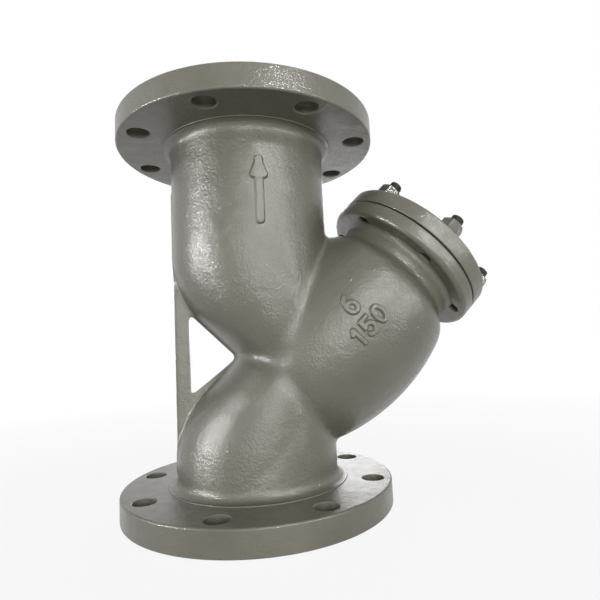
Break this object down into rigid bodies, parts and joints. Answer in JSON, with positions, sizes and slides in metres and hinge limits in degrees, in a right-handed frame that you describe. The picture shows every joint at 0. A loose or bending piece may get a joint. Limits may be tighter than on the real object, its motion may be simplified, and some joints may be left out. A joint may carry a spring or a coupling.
{
  "type": "flanged y strainer",
  "caption": "Flanged Y-type pipeline strainer: cast body with a slanted screen chamber, bolted cover, perforated screen and drain plug.",
  "frame": {"origin": "centre of the inlet flange's sealing face", "axes": "+Z along the run from inlet to outlet, the screen branch leans to +X in the XZ plane"},
  "size_m": [0.4037, 0.2794, 0.4064],
  "materials": {
    "cast_paint": "semi-gloss olive grey paint over a cast surface",
    "cover_paint": "semi-gloss olive grey paint over a machined cover",
    "gasket_steel": "dull steel rings",
    "graphite": "dark graphite and steel winding",
    "stainless": "satin perforated stainless sheet",
    "fastener": "painted over dark steel",
    "soft_washer": "dull soft metal"
  },
  "bodies": {
    "casting": {"inlet_flange": "cast_paint", "inlet_lobe": "cast_paint", "outlet_flange": "cast_paint", "outlet_lobe": "cast_paint", "screen_chamber": "cast_paint", "bonnet_flange": "cast_paint", "web_strap": "cast_paint", "stud_1": "fastener", "stud_2": "fastener", "stud_3": "fastener", "stud_4": "fastener", "stud_5": "fastener", "stud_6": "fastener"},
    "cover": {"cover": "cover_paint"},
    "nuts": {"nut_1": "fastener", "nut_2": "fastener", "nut_3": "fastener", "nut_4": "fastener", "nut_5": "fastener", "nut_6": "fastener"},
    "gasket": {"gasket_inner_ring": "gasket_steel", "gasket_winding": "graphite", "gasket_outer_ring": "gasket_steel"},
    "screen": {"screen_tube": "stainless", "screen_top_ring": "stainless", "screen_bottom_ring": "stainless", "screen_bail": "stainless"},
    "plug_washer": {"drain_plug_washer": "soft_washer"},
    "plug": {"drain_plug": "fastener"}
  },
  "joints": [
    {"name": "cover_lift", "type": "slide", "parent": "casting", "child": "cover", "axis": [0.7071, 0, 0.7071], "range_m": [0, 0.27]},
    {"name": "nuts_off", "type": "slide", "parent": "cover", "child": "nuts", "axis": [0.7071, 0, 0.7071], "range_m": [0, 0.03]},
    {"name": "gasket_lift", "type": "slide", "parent": "casting", "child": "gasket", "axis": [0.7071, 0, 0.7071], "range_m": [0, 0.25]},
    {"name": "screen_pull", "type": "slide", "parent": "casting", "child": "screen", "axis": [0.7071, 0, 0.7071], "range_m": [0, 0.22]},
    {"name": "plug_rise", "type": "slide", "parent": "cover", "child": "plug_washer", "axis": [0.7071, 0, 0.7071], "range_m": [0, 0.0277]},
    {"name": "plug_turn", "type": "hinge", "parent": "plug_washer", "child": "plug", "pos_m": [0.20506, 0, 0.28106], "axis": [0.7071, 0, 0.7071], "range_deg": [0, 4320]}
  ],
  "couplings": [
    {"joint": "gasket_lift", "follows": "cover_lift", "ratio": 0.9},
    {"joint": "screen_pull", "follows": "cover_lift", "ratio": 0.8},
    {"joint": "plug_turn", "follows": "plug_rise", "rad_per_m": 2720.7}
  ]
}
